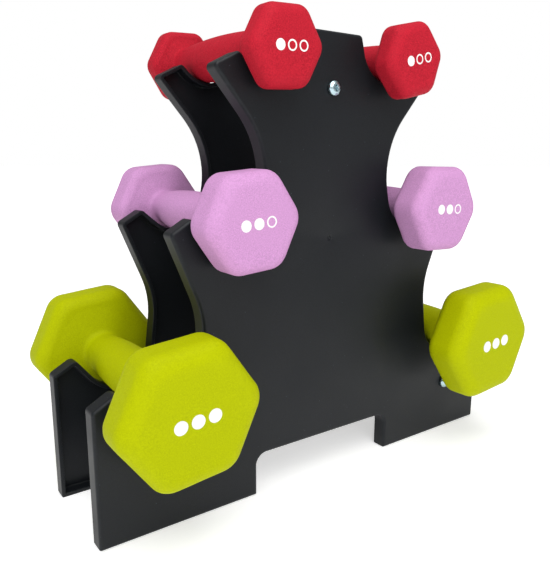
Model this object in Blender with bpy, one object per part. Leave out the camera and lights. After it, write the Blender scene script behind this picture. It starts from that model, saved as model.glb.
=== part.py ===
"""Dumbbell rack: two moulded side plates on three cross bars, holding three pairs of dumbbells.

Metres, +Z up. The origin is at the middle of the rack's footprint, on the floor. The side plates lie
in planes parallel to XZ, the front one towards -Y, and the dumbbells lie along Y across both plates.
"""
import math

import bmesh
import bpy
from mathutils import Matrix

# ---------------------------------------------------------------- driving dimensions
MM = 0.001
GAP = 0.3 * MM                 # running gap between pieces that touch
WELD = 0.005 * MM              # points closer than this are one point

RACK_WIDTH = 340 * MM
RACK_HEIGHT = 304 * MM
RACK_DEPTH = 83 * MM           # over both side plates
PLATE_DEPTH = 11 * MM          # depth of one side plate, rim to outer face
PLATE_SKIN = 3 * MM            # outer skin of a side plate
PLATE_WALL = 2.6 * MM          # rim wall round the open inner side
PLATE_EDGE = 2 * MM            # rounding of the outer face's edge
TOP_WIDTH = 51 * MM            # flat at the top of a plate
ARCH_WIDTH = 120 * MM          # arch between the two feet
ARCH_HEIGHT = 29 * MM
ARCH_CORNER = 8 * MM
FOOT_CORNER = 1.2 * MM
HOOK_CORNER = 3 * MM           # rounding of the hooks and of the top
LIP_CORNER = 4 * MM            # rounding of the lowest hook's lip

SADDLE_RADIUS = 23.5 * MM      # every cradle is the same arc
WAIST_RADIUS = 58.5 * MM       # the hollow sides between the cradles

BAR_RADIUS = 11 * MM
BAR_WALL = 2.5 * MM
BAR_CORE_DEPTH = 24 * MM       # annular pocket cored into each end of a bar
BOSS_RADIUS = 6 * MM           # screw boss in the middle of the pocket
SOCKET_WALL = 2.4 * MM         # ring on the plate that locates a bar
SOCKET_SETBACK = 1 * MM        # the ring ends this far below the plate's rim
SCREW_SHANK = 2.4 * MM         # radius of a 4.8 mm tapping screw
SCREW_HEAD = 4.75 * MM
SCREW_HEAD_HEIGHT = 3.2 * MM
SCREW_LENGTH = 18 * MM
SCREW_POINT = 3 * MM           # length of the tapered point
SCREW_TIP = 0.3 * MM           # radius it tapers to
PILOT_SPARE = 2 * MM           # pilot hole beyond the screw's point
PAN_HEAD = [(0.35, 1), (0.75, 0.85), (1, 0.4), (1, 0)]    # shares of the head's radius and height
RECESS_WIDTH = 1.3 * MM        # one blade of the cross recess
RECESS_SPAN = 5 * MM
RECESS_DEPTH = 2 * MM

COAT = 2.4 * MM                # neoprene thickness
HANG_HOLE = 2 * MM             # radius of the hole left by the dipping hook
DISH = 0.12                    # how far a head's inner side leans out, per half width of the head
BARREL_AT = 0.55               # where along the half handle the barrel has one more section

# Rounding centres and radii of half of the plate's outline, from the top down to the arch. A positive
# radius turns round material, a negative one round open space; straight tangents join the arcs.
HALF = RACK_WIDTH / 2
HALF_OUTLINE = [
    (TOP_WIDTH / 2 - HOOK_CORNER, RACK_HEIGHT - HOOK_CORNER, HOOK_CORNER),
    (50.5 * MM, 298.8 * MM, -SADDLE_RADIUS),
    (71.7 * MM, 282.5 * MM, HOOK_CORNER),
    (84.3 * MM, 276.2 * MM, HOOK_CORNER),
    (111.5 * MM, 213.5 * MM, -WAIST_RADIUS),
    (78.7 * MM, 199.7 * MM, -SADDLE_RADIUS),
    (104.5 * MM, 186.9 * MM, HOOK_CORNER),
    (115.1 * MM, 180.7 * MM, HOOK_CORNER),
    (157.2 * MM, 120.9 * MM, -WAIST_RADIUS),
    (125.3 * MM, 94.6 * MM, -SADDLE_RADIUS),
    (156.1 * MM, 89.3 * MM, LIP_CORNER),
    (HALF - HOOK_CORNER, 84.3 * MM, HOOK_CORNER),
    (HALF - FOOT_CORNER, FOOT_CORNER, FOOT_CORNER),
    (ARCH_WIDTH / 2 + FOOT_CORNER, FOOT_CORNER, FOOT_CORNER),
    (ARCH_WIDTH / 2 - ARCH_CORNER, ARCH_HEIGHT - ARCH_CORNER, -ARCH_CORNER),
]
SADDLES = {"500g": HALF_OUTLINE[1], "1kg": HALF_OUTLINE[5], "2kg": HALF_OUTLINE[9]}

# Where the three cross bars and their screws are: x and z.
BARS = {
    "top": (0.0, 269 * MM),
    "left": (-128 * MM, 41 * MM),
    "right": (128 * MM, 41 * MM),
}

# One entry for each size, in millimetres: head across flats, rounding of the hexagon's corners, head
# length, overall length, handle radius in the middle and beside the heads, rounding of the head's outer
# edge, and width of the soft shoulder on its inner side.
DUMBBELLS = {
    "500g": dict(flats=46.4, corner=8.6, head=21.8, length=145.6, grip=14.2, neck=11.4,
                 edge=7.2, shoulder=5.2),
    "1kg": dict(flats=58.6, corner=12.2, head=30.4, length=149.6, grip=14.2, neck=11.2,
                edge=8.0, shoulder=6.5),
    "2kg": dict(flats=81.9, corner=13.3, head=36.2, length=177.4, grip=16.6, neck=12.8,
                edge=10.7, shoulder=9.0),
}
# How each one lies in its cradle: turn about its own axis in degrees, and how far it has been pushed
# back from the middle of the rack.
LIE = {
    ("500g", "left"): (2.7, 8.4),
    ("500g", "right"): (12.8, 4.6),
    ("1kg", "left"): (5.2, 2.5),
    ("1kg", "right"): (-1.3, -2.5),
    ("2kg", "left"): (5.7, 6.8),
    ("2kg", "right"): (4.8, -2.2),
}
SIDES = {"left": -1, "right": 1}

COAT_POINTS = 18               # points round a coat, three for each corner of the hexagon
CORE_POINTS = 12
ROUND_SEGMENTS = 16            # facets of a turned piece
SCREW_SEGMENTS = 12
ARC_STEP = 15                  # degrees between points on the plate's larger arcs
CORNER_STEPS = 3               # steps round each of its small corners


# ---------------------------------------------------------------- scene and material helpers
def clear_scene():
    for item in list(bpy.data.objects):
        bpy.data.objects.remove(item, do_unlink=True)


def material(name, colour, roughness, metallic=0.0):
    made = bpy.data.materials.new(name)
    made.use_nodes = True
    shader = made.node_tree.nodes["Principled BSDF"]
    shader.inputs["Base Color"].default_value = (*colour, 1.0)
    shader.inputs["Roughness"].default_value = roughness
    shader.inputs["Metallic"].default_value = metallic
    made.diffuse_color = (*colour, 1.0)
    return made


def add_object(name, mesh, finish=None):
    made = bpy.data.objects.new(name, mesh)
    bpy.context.scene.collection.objects.link(made)
    if finish and not mesh.materials:
        mesh.materials.append(finish)
    return made


def hide_cutter(cutter):
    cutter.hide_render = True
    cutter.display_type = "WIRE"


def add_boolean(target, tool, operation):
    cut = target.modifiers.new(f"{operation.lower()} {tool.name}", "BOOLEAN")
    cut.operation = operation
    cut.object = tool
    hide_cutter(tool)


# ---------------------------------------------------------------- shapes
def rings_to_mesh(name, rings, smooth_angle=40):
    """Join rings of equal count into one closed skin, with a flat face over the first and the last."""
    count = len(rings[0])
    work = bmesh.new()
    rows = [[work.verts.new(point) for point in ring] for ring in rings]
    for row, after in zip(rows, rows[1:]):
        for i in range(count):
            j = (i + 1) % count
            work.faces.new((row[i], row[j], after[j], after[i]))
    work.faces.new(list(reversed(rows[0])))
    work.faces.new(rows[-1])
    bmesh.ops.remove_doubles(work, verts=work.verts, dist=WELD)
    bmesh.ops.recalc_face_normals(work, faces=work.faces)
    mesh = bpy.data.meshes.new(name)
    work.to_mesh(mesh)
    work.free()
    mesh.shade_smooth()
    mesh.set_sharp_from_angle(angle=math.radians(smooth_angle))
    return mesh


def turned(name, profile, segments=ROUND_SEGMENTS):
    """A turned piece along Y from (radius, y) pairs that start and end off the axis."""
    rings = []
    for radius, along in profile:
        ring = []
        for i in range(segments):
            angle = 2 * math.pi * i / segments
            ring.append((radius * math.cos(angle), along, radius * math.sin(angle)))
        rings.append(ring)
    return rings_to_mesh(name, rings, 30)


def belt(circles, inset=0.0):
    """Points of the closed outline that runs clockwise round signed circles (x, z, radius), moved
    inwards by inset. Neighbouring arcs are joined by their common tangent, and a corner that is
    rounded less than the inset becomes a sharp one, with all its points in one place."""
    count = len(circles)
    headings = []
    for i in range(count):
        x0, z0, radius0 = circles[i]
        x1, z1, radius1 = circles[(i + 1) % count]
        distance = math.hypot(x1 - x0, z1 - z0)
        bearing = math.atan2(z1 - z0, x1 - x0)
        headings.append(bearing + math.asin((radius1 - radius0) / distance))
    points = []
    for i in range(count):
        x, z, radius = circles[i]
        turn = headings[i] - headings[i - 1]
        turn = (turn + math.pi) % (2 * math.pi) - math.pi
        steps = max(2, round(abs(math.degrees(turn)) / ARC_STEP))
        if abs(radius) <= HOOK_CORNER:
            steps = CORNER_STEPS
        reach = radius - inset
        sharp = reach < 0 < radius
        for k in range(steps + 1):
            share = 0.5 if sharp else k / steps
            normal = headings[i - 1] + turn * share + math.pi / 2
            length = reach / math.cos(turn / 2) if sharp else reach
            points.append((x + length * math.cos(normal), z + length * math.sin(normal)))
    return points


def plate_circles():
    mirrored = [(-x, z, radius) for x, z, radius in reversed(HALF_OUTLINE)]
    return HALF_OUTLINE + mirrored


def hexagon_ring(flats_radius, corner, along, points):
    """A hexagon with rounded corners in the XZ plane; with corner == flats_radius it is a circle."""
    reach = (flats_radius - corner) / math.cos(math.pi / 6)
    per_corner = points // 6
    ring = []
    for k in range(6):
        direction = k * math.pi / 3
        for i in range(per_corner):
            angle = direction + math.pi / 3 * ((i + 0.5) / per_corner - 0.5)
            x = reach * math.cos(direction) + corner * math.cos(angle)
            z = reach * math.sin(direction) + corner * math.sin(angle)
            ring.append((x, along, z))
    return ring


def grip_radius(size, along):
    """Radius of the barrel-shaped handle at a distance from its middle."""
    half = (size["length"] / 2 - size["head"]) * MM
    return (size["grip"] - (size["grip"] - size["neck"]) * (along / half) ** 2) * MM


def dumbbell_half(size, offset, edge_steps):
    """Sections from the end face to the middle, drawn in by offset: (flats radius, corner, distance)."""
    flats = size["flats"] / 2 * MM - offset
    corner = size["corner"] * MM - offset
    end = size["length"] / 2 * MM - offset
    edge = size["edge"] * MM - offset / 2
    shoulder = size["shoulder"] * MM
    neck_at = end - size["head"] * MM + 2 * offset
    sections = []
    for k in range(edge_steps + 1):
        angle = math.pi / 2 * k / edge_steps
        inset = edge * (1 - math.sin(angle))
        sections.append((flats - inset, corner, end - edge * (1 - math.cos(angle))))
    dish = DISH * flats
    sections.append((flats, corner, neck_at + dish + shoulder))
    sections.append((flats - shoulder, corner, neck_at + dish))
    for share in (1.0, BARREL_AT):
        along = neck_at * share
        radius = grip_radius(size, along) - offset
        sections.append((radius, radius, along))
    return sections


def dumbbell_rings(size, offset, edge_steps, points):
    half = dumbbell_half(size, offset, edge_steps)
    middle = grip_radius(size, 0.0) - offset
    front = [hexagon_ring(flats, corner, -along, points) for flats, corner, along in half]
    back = [hexagon_ring(flats, corner, along, points) for flats, corner, along in reversed(half)]
    return front + [hexagon_ring(middle, middle, 0.0, points)] + back


# ---------------------------------------------------------------- the rack
def side_plate(name, facing, finish):
    """A shallow tray: smooth outer face, rim wall, open inner side. facing is -1 front, +1 rear."""
    circles = plate_circles()
    outer = RACK_DEPTH / 2
    inner = outer - PLATE_DEPTH
    floor = outer - PLATE_SKIN
    layers = [(PLATE_EDGE, outer)]
    for angle in (45, 90):
        turn = math.radians(angle)
        layers.append((PLATE_EDGE * (1 - math.sin(turn)), outer - PLATE_EDGE * (1 - math.cos(turn))))
    layers += [(0.0, inner), (PLATE_WALL, inner), (PLATE_WALL, floor)]
    rings = []
    for inset, along in layers:
        rings.append([(x, facing * along, z) for x, z in belt(circles, inset)])
    plate = add_object(name, rings_to_mesh(name, rings), finish)
    for place, (x, z) in BARS.items():
        add_boolean(plate, bar_socket(f"{name} {place} socket", x, z, facing), "UNION")
        add_boolean(plate, screw_hole(f"{name} {place} hole", x, z, facing), "DIFFERENCE")
    return plate


def bar_socket(name, x, z, facing):
    """The ring that locates a cross bar, let a little into the skin so that the two fuse."""
    bore = BAR_RADIUS + GAP
    root = RACK_DEPTH / 2 - PLATE_SKIN / 2
    rim = RACK_DEPTH / 2 - PLATE_DEPTH + SOCKET_SETBACK
    mesh = turned(name, [(bore + SOCKET_WALL, root), (bore + SOCKET_WALL, rim), (bore, rim),
                         (bore, RACK_DEPTH / 2 - PLATE_SKIN)])
    mesh.transform(Matrix.Scale(facing, 4, (0, 1, 0)))
    if facing < 0:
        mesh.flip_normals()
    mesh.transform(Matrix.Translation((x, 0, z)))
    return add_object(name, mesh)


def screw_hole(name, x, z, facing):
    mesh = turned(name, [(SCREW_SHANK + GAP, -PLATE_DEPTH), (SCREW_SHANK + GAP, PLATE_DEPTH)])
    mesh.transform(Matrix.Translation((x, facing * RACK_DEPTH / 2, z)))
    return add_object(name, mesh)


def cross_bar(name, x, z, finish):
    """A moulded bar with cored ends: outer wall, annular pocket, and a boss that takes the screw."""
    end = RACK_DEPTH / 2 - PLATE_SKIN - GAP
    pilot = SCREW_SHANK + GAP
    pilot_end = end + PLATE_SKIN - SCREW_LENGTH - PILOT_SPARE
    pocket = BAR_RADIUS - BAR_WALL
    pocket_end = end - BAR_CORE_DEPTH
    half = [(pilot, pilot_end), (pilot, end), (BOSS_RADIUS, end), (BOSS_RADIUS, pocket_end),
            (pocket, pocket_end), (pocket, end), (BAR_RADIUS, end)]
    profile = half + [(radius, -along) for radius, along in reversed(half)]
    bar = add_object(name, turned(name, profile), finish)
    bar.location = (x, 0, z)
    return bar


def screw_mesh():
    """A pan-head tapping screw along Y, head towards -Y, with its seat at y = 0."""
    profile = [(SCREW_HEAD * across, -SCREW_HEAD_HEIGHT * up) for across, up in PAN_HEAD]
    profile += [(SCREW_SHANK, 0), (SCREW_SHANK, SCREW_LENGTH - SCREW_POINT), (SCREW_TIP, SCREW_LENGTH)]
    return turned("screw", profile, SCREW_SEGMENTS)


def cross_cutter(name):
    work = bmesh.new()
    for span_x, span_z in ((RECESS_SPAN, RECESS_WIDTH), (RECESS_WIDTH, RECESS_SPAN)):
        size = Matrix.Diagonal((span_x, 2 * RECESS_DEPTH, span_z, 1))
        place = Matrix.Translation((0, -SCREW_HEAD_HEIGHT, 0))
        bmesh.ops.create_cube(work, size=1, matrix=place @ size)
    mesh = bpy.data.meshes.new(name)
    work.to_mesh(mesh)
    work.free()
    return add_object(name, mesh)


def cut_screw_mesh():
    """The screw with its cross recess, worked out once and shared by all six screws."""
    blank = add_object("screw blank", screw_mesh())
    cutter = cross_cutter("cross recess")
    add_boolean(blank, cutter, "DIFFERENCE")
    blank.modifiers[0].use_self = True
    ready = blank.evaluated_get(bpy.context.evaluated_depsgraph_get())
    mesh = bpy.data.meshes.new_from_object(ready)
    mesh.name = "cross recess screw"
    for item in (blank, cutter):
        bpy.data.objects.remove(item, do_unlink=True)
    return mesh


def screw(name, mesh, x, z, facing, finish):
    made = add_object(name, mesh, finish)
    made.location = (x, facing * (RACK_DEPTH / 2 + GAP), z)
    made.rotation_euler = (0, 0, 0 if facing < 0 else math.pi)
    return made


# ---------------------------------------------------------------- the dumbbells
def coat_mesh(kind, size):
    """The neoprene skin, open only at the hole that the dipping hook left in the rear end."""
    outside = dumbbell_rings(size, 0.0, 2, COAT_POINTS)
    inside = dumbbell_rings(size, COAT, 1, COAT_POINTS)
    rear = size["length"] / 2 * MM
    hole = [hexagon_ring(HANG_HOLE, HANG_HOLE, along, COAT_POINTS) for along in (rear, rear - COAT)]
    return rings_to_mesh(f"coat {kind}", outside + hole + list(reversed(inside)))


def core_mesh(kind, size):
    return rings_to_mesh(f"core {kind}", dumbbell_rings(size, COAT + GAP, 1, CORE_POINTS))


def resting_place(kind, side):
    """Handle middle and slope: the barrel rests on the inner edge of both plates' cradles."""
    x, z, radius = SADDLES[kind]
    push = LIE[kind, side][1] * MM
    inner = RACK_DEPTH / 2 - PLATE_DEPTH
    front = grip_radius(DUMBBELLS[kind], -inner - push)
    rear = grip_radius(DUMBBELLS[kind], inner - push)
    slope = math.atan2(rear - front, 2 * inner)
    height = z + radius + (front + rear) / 2 + GAP + math.tan(slope) * push
    return (SIDES[side] * x, push, height), slope


def add_dumbbell(kind, side, coat, core, coat_finish, core_finish):
    place, slope = resting_place(kind, side)
    holder = bpy.data.objects.new(f"dumbbell_{kind}_{side}", None)
    bpy.context.scene.collection.objects.link(holder)
    holder.location = place
    holder.rotation_euler = (slope, -math.radians(LIE[kind, side][0]), 0)
    for label, mesh, finish in (("coat", coat, coat_finish), ("core", core, core_finish)):
        piece = add_object(f"dumbbell_{kind}_{side}_{label}", mesh, finish)
        piece.parent = holder


# ---------------------------------------------------------------- assembly
def build_rack():
    plastic = material("rack plastic", (0.035, 0.037, 0.040), 0.45)
    zinc = material("zinc plated steel", (0.72, 0.78, 0.82), 0.3, 1.0)
    screw_shape = cut_screw_mesh()
    for label, facing in (("front", -1), ("rear", 1)):
        side_plate(f"{label}_side_plate", facing, plastic)
        for place, (x, z) in BARS.items():
            screw(f"{label}_{place}_screw", screw_shape, x, z, facing, zinc)
    for place, (x, z) in BARS.items():
        cross_bar(f"{place}_cross_bar", x, z, plastic)


def build_dumbbells():
    colours = {"500g": (0.62, 0.02, 0.045), "1kg": (0.62, 0.35, 0.62), "2kg": (0.52, 0.56, 0.003)}
    iron = material("cast iron", (0.08, 0.08, 0.085), 0.6, 0.8)
    for kind, size in DUMBBELLS.items():
        neoprene = material(f"neoprene {kind}", colours[kind], 0.75)
        coat = coat_mesh(kind, size)
        core = core_mesh(kind, size)
        for side in SIDES:
            add_dumbbell(kind, side, coat, core, neoprene, iron)


def main():
    clear_scene()
    build_rack()
    build_dumbbells()


main()
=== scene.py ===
"""Fine shapes, finishes and studio for a dumbbell rack with three pairs of neoprene dumbbells.

Everything is in metres in the frame of the CAD model: X runs along the side plates, the front plate
is towards -Y, +Z is up and the floor is at z = 0. A finished piece keeps its place in its mesh, and its
object stays at the origin.
"""

import math

import bmesh
import bpy
from bpy.props import FloatProperty, FloatVectorProperty, PointerProperty
from mathutils import Matrix, Vector, noise


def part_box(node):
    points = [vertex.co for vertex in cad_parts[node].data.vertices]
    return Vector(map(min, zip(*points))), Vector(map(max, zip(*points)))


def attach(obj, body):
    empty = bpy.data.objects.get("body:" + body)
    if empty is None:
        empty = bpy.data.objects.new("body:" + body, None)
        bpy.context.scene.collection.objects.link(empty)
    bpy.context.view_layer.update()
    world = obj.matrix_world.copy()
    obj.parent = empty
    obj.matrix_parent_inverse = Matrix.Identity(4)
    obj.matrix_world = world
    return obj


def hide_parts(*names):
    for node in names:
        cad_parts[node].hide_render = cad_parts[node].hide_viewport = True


bl_info = {
    "name": "Dumbbell Rack",
    "version": (1, 0, 0),
    "blender": (4, 5, 0),
    "location": "3D View > Sidebar > Dumbbell Rack",
    "description": "Builds the visible pieces of a moulded dumbbell rack and its neoprene dumbbells",
    "category": "Object",
}

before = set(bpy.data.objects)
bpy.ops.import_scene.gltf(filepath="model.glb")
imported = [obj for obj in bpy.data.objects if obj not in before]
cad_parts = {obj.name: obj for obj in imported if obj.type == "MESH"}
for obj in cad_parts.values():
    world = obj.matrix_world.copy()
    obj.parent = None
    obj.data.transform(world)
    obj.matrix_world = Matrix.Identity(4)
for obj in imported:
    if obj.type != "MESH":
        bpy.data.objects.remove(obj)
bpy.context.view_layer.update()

MM = 0.001
RACK_BODY = "rack"
KINDS = ("500g", "1kg", "2kg")
SIDES = ("left", "right")
BARS = ("top", "left", "right")
FACINGS = {"front": -1, "rear": 1}

# Steps that set how fine the shapes are.
ARC_STEP = 4                   # degrees between points on the plates' larger arcs
CORNER_STEPS = 8               # steps round each of their small corners
FILLET_STEPS = 6
EDGE_STEPS = 10                # steps round a dumbbell head's outer edge
SHOULDER_STEPS = 8             # steps round its inner edge, and where it bends into the handle
HANDLE_STEPS = 11              # steps along half a handle
TURNED_SEGMENTS = 72
RING_POINTS = 144              # points round a dumbbell
CROWDING = 0.6                 # how strongly those points crowd towards the hexagon's corners
WELD = 0.004 * MM              # points closer than this are one point
SUPPORT = 0.5 * MM             # width of the narrow faces that keep the shading flat beside a rounding

# Sizes that more than one piece shares.
SOCKET_GAP = 0.3 * MM          # room between a cross bar and its socket
SCREW_HOLE = 2.7 * MM          # radius of the holes for the screws, in the plates and in the bars


# ---------------------------------------------------------------- sizes and colours
def length(name, description, default):
    """A length in metres that a user can change."""
    return FloatProperty(name=name, description=description, default=default, min=0, unit="LENGTH")


def three_lengths(name, description, millimetres):
    """One length for each pair of dumbbells, from the small pair to the large one."""
    return FloatVectorProperty(name=name, description=f"{description}: small, middle and large pair",
                               default=[value * MM for value in millimetres], size=3, min=0, unit="LENGTH")


def colour(name, description, default):
    return FloatVectorProperty(name=name, description=description, default=default, size=3, min=0, max=1,
                               subtype="COLOR")


class RackSizes(bpy.types.PropertyGroup):
    """Sizes of the moulded rack and its screws."""
    top_width: length("Top width", "Flat at the top of a side plate", 51 * MM)
    skin: length("Skin", "Thickness of a side plate's outer skin", 3 * MM)
    wall: length("Rim wall", "Thickness of the wall round a side plate's open side", 2.6 * MM)
    edge: length("Edge rounding", "Rounding of the outer face's edge", 2 * MM)
    rim_edge: length("Rim rounding", "Rounding of the rim wall's two edges", 0.5 * MM)
    hook_corner: length("Hook rounding", "Rounding of the hooks' corners", 3 * MM)
    lip_corner: length("Lip rounding", "Rounding of the lowest hooks' lips", 4 * MM)
    foot_corner: length("Foot rounding", "Rounding of the feet's corners", 1.2 * MM)
    saddle: length("Saddle radius", "Radius of every cradle", 23.5 * MM)
    waist: length("Waist radius", "Radius of the hollow sides between the cradles", 58.5 * MM)
    arch_width: length("Arch width", "Width of the arch between the feet", 120 * MM)
    arch_height: length("Arch height", "Height of the arch between the feet", 29 * MM)
    arch_corner: length("Arch rounding", "Rounding of the arch's two upper corners", 8 * MM)
    socket_wall: length("Socket wall", "Wall of the ring that locates a cross bar", 2.4 * MM)
    gate_height: length("Gate height", "Height of the moulding gate's mark on the outer face", 172 * MM)
    gate_radius: length("Gate radius", "Radius of the moulding gate's mark", 2.3 * MM)
    bar_wall: length("Bar wall", "Wall of a cross bar's cored end", 2.5 * MM)
    boss_radius: length("Boss radius", "Radius of the screw boss in a cross bar's end", 6 * MM)
    core_depth: length("Core depth", "Depth of the pocket cored into a cross bar's end", 24 * MM)
    shank_core: length("Screw core", "Radius of a screw under its thread", 1.85 * MM)
    thread_pitch: length("Thread pitch", "Pitch of a screw's thread", 1.6 * MM)


class DumbbellSizes(bpy.types.PropertyGroup):
    """Sizes of the three pairs of dumbbells."""
    flats: three_lengths("Across flats", "Head across its flats", (46.4, 58.6, 81.9))
    corner: three_lengths("Corner", "Rounding of the hexagon's corners", (8.6, 12.2, 13.3))
    head: three_lengths("Head length", "Length of one head", (21.8, 30.4, 36.2))
    length: three_lengths("Length", "Overall length", (145.6, 149.6, 177.4))
    grip: three_lengths("Grip", "Radius of the handle in its middle", (14.2, 14.2, 16.6))
    neck: three_lengths("Neck", "Radius of the handle beside the heads", (11.4, 11.2, 12.8))
    edge: three_lengths("Edge", "Rounding of the head's outer edge", (7.2, 8.0, 10.7))
    shoulder: three_lengths("Shoulder", "Rounding of the head's inner edge", (5.2, 6.5, 9.0))
    dot: three_lengths("Dot", "Radius of one dot of the size mark", (3.2, 3.4, 4.2))
    spacing: three_lengths("Dot spacing", "Distance between the dots of the size mark", (8.2, 8.7, 10.6))
    dish: FloatProperty(name="Dish", description="How far a head's inner side leans out, per half width",
                        default=0.12, min=0, max=1, subtype="FACTOR")
    coat: length("Coat", "Thickness of the neoprene", 2.4 * MM)
    hang_hole: length("Hang hole", "Radius of the hole left by the dipping hook", 2 * MM)
    ripple: length("Ripple", "Height of the dipped coat's soft ripple", 0.1 * MM)


class Finishes(bpy.types.PropertyGroup):
    """Colours of the finishes."""
    plastic: colour("Plastic", "Moulded plastic of the rack", (0.0058, 0.0072, 0.0092))
    zinc: colour("Zinc", "Zinc plate of the screws", (0.50, 0.66, 0.71))
    iron: colour("Iron", "Cast iron of the cores", (0.09, 0.085, 0.08))
    small: colour("Small pair", "Neoprene of the small pair", (0.47, 0.0155, 0.031))
    middle: colour("Middle pair", "Neoprene of the middle pair", (0.58, 0.295, 0.555))
    large: colour("Large pair", "Neoprene of the large pair", (0.425, 0.475, 0.0005))
    ink: colour("Ink", "Printed size marks", (0.90, 0.90, 0.88))
    floor: colour("Floor", "Studio floor", (0.86, 0.86, 0.86))


class Studio(bpy.types.PropertyGroup):
    """Camera and light."""
    lens: FloatProperty(name="Lens", description="Focal length of the camera", default=38.79, min=1,
                        unit="CAMERA")
    stand: FloatVectorProperty(name="Stand", description="Where the camera stands",
                               default=(-0.2730, -0.3603, 0.22695), size=3, subtype="TRANSLATION")
    heading: FloatProperty(name="Heading", description="Camera's turn to the right of +Y",
                           default=math.radians(35.476), subtype="ANGLE")
    dip: FloatProperty(name="Dip", description="How far the camera looks down",
                       default=math.radians(12.079), subtype="ANGLE")
    roll: FloatProperty(name="Roll", description="Camera's turn about its own view",
                        default=math.radians(0.163), subtype="ANGLE")
    surround: FloatProperty(name="Surround", description="Brightness of the white surround",
                            default=0.40, min=0)
    key: FloatProperty(name="Key light", description="Power of the large light at the front left",
                       default=8, min=0, unit="POWER")
    side: FloatProperty(name="Side light", description="Power of the light at the back left",
                        default=0.4, min=0, unit="POWER")
    top: FloatProperty(name="Top light", description="Power of the light overhead",
                       default=14, min=0, unit="POWER")


def props(name):
    """One of this add-on's groups of properties in the current scene."""
    return getattr(bpy.context.scene, f"rack_{name}")


# ---------------------------------------------------------------- objects and meshes
def add_object(name, mesh):
    made = bpy.data.objects.new(name, mesh)
    bpy.context.scene.collection.objects.link(made)
    return made


def remove(*objects):
    for item in objects:
        bpy.data.objects.remove(item, do_unlink=True)


def plain_mesh(obj):
    """Give the object the mesh that its modifiers make, and remove them."""
    ready = obj.evaluated_get(bpy.context.evaluated_depsgraph_get())
    mesh = bpy.data.meshes.new_from_object(ready)
    obj.modifiers.clear()
    obj.data = mesh


def shade(mesh, sharp_angle=35):
    mesh.shade_smooth()
    mesh.set_sharp_from_angle(angle=math.radians(sharp_angle))


def finished(obj, body, slot_name, finish, *cad_nodes):
    """Finish a piece: its material, its body and the CAD nodes that it stands for. Its slot name is not
    used.
    """
    obj.data.materials.clear()
    obj.data.materials.append(finish)
    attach(obj, body)
    if cad_nodes:
        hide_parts(*cad_nodes)
    return obj


def skin(work, rings):
    """Add rings of equal count to the mesh, joined by faces, and return them as rows of points."""
    count = len(rings[0])
    rows = [[work.verts.new(point) for point in ring] for ring in rings]
    for row, after in zip(rows, rows[1:]):
        for i in range(count):
            j = (i + 1) % count
            work.faces.new((row[i], row[j], after[j], after[i]))
    return rows


def closed_mesh(name, work):
    """The mesh with its doubles merged and its faces pointing out."""
    bmesh.ops.remove_doubles(work, verts=work.verts, dist=WELD)
    bmesh.ops.dissolve_degenerate(work, edges=work.edges, dist=WELD)
    bmesh.ops.recalc_face_normals(work, faces=work.faces)
    mesh = bpy.data.meshes.new(name)
    work.to_mesh(mesh)
    work.free()
    shade(mesh)
    return mesh


def loft(name, rings):
    """Join rings of equal count into one closed skin, with a flat face over the first and the last."""
    work = bmesh.new()
    rows = skin(work, rings)
    work.faces.new(list(reversed(rows[0])))
    work.faces.new(rows[-1])
    return closed_mesh(name, work)


def circle(radius, along, segments):
    """Points of a circle about the Y axis."""
    angles = [2 * math.pi * i / segments for i in range(segments)]
    return [(radius * math.cos(a), along, radius * math.sin(a)) for a in angles]


def turned(name, profile, segments=TURNED_SEGMENTS):
    """A turned piece along Y from (radius, y) pairs that start and end off the axis."""
    return loft(name, [circle(radius, along, segments) for radius, along in profile])


def rounded(corners, steps=FILLET_STEPS):
    """Replace each (u, v, radius) corner of an open profile with an arc that touches both its sides."""
    points = [corners[0][:2]]
    for before, corner, after in zip(corners, corners[1:], corners[2:]):
        middle, radius = Vector(corner[:2]), corner[2]
        back = (Vector(before[:2]) - middle).normalized()
        on = (Vector(after[:2]) - middle).normalized()
        half = back.angle(on) / 2
        if radius == 0:
            points.append(tuple(middle))
            continue
        centre = middle + (back + on).normalized() * radius / math.sin(half)
        first = middle + back * radius / math.tan(half) - centre
        last = middle + on * radius / math.tan(half) - centre
        turn = math.atan2(last.y, last.x) - math.atan2(first.y, first.x)
        turn = (turn + math.pi) % (2 * math.pi) - math.pi
        for k in range(steps + 1):
            points.append(tuple(centre + Matrix.Rotation(turn * k / steps, 2) @ first))
    points.append(corners[-1][:2])
    return points


def write_wear_and_highlight(mesh, amount_at):
    """Store at each point, 0 to 1, how strongly the materials paint the edges lighter, as wear and as
    painted highlight.
    """
    wear_and_highlight = mesh.attributes.new("wear_and_highlight", "FLOAT", "POINT")
    wear_and_highlight.data.foreach_set("value", [amount_at(vertex.co) for vertex in mesh.vertices])


# ---------------------------------------------------------------- side plates
def belt(circles, inset=0.0):
    """Points of the closed outline that runs clockwise round signed circles (x, z, radius), moved
    inwards by inset. Neighbouring arcs are joined by their common tangent, and a corner that is
    rounded less than the inset becomes a sharp one, with all its points in one place."""
    count = len(circles)
    headings = []
    for i in range(count):
        x0, z0, radius0 = circles[i]
        x1, z1, radius1 = circles[(i + 1) % count]
        distance = math.hypot(x1 - x0, z1 - z0)
        bearing = math.atan2(z1 - z0, x1 - x0)
        headings.append(bearing + math.asin((radius1 - radius0) / distance))
    points = []
    for i in range(count):
        x, z, radius = circles[i]
        turn = headings[i] - headings[i - 1]
        turn = (turn + math.pi) % (2 * math.pi) - math.pi
        steps = max(CORNER_STEPS, round(abs(math.degrees(turn)) / ARC_STEP))
        reach = radius - inset
        sharp = reach < 0 < radius
        for k in range(steps + 1):
            share = 0.5 if sharp else k / steps
            normal = headings[i - 1] + turn * share + math.pi / 2
            distance = reach / math.cos(turn / 2) if sharp else reach
            points.append((x + distance * math.cos(normal), z + distance * math.sin(normal)))
    return points


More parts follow.
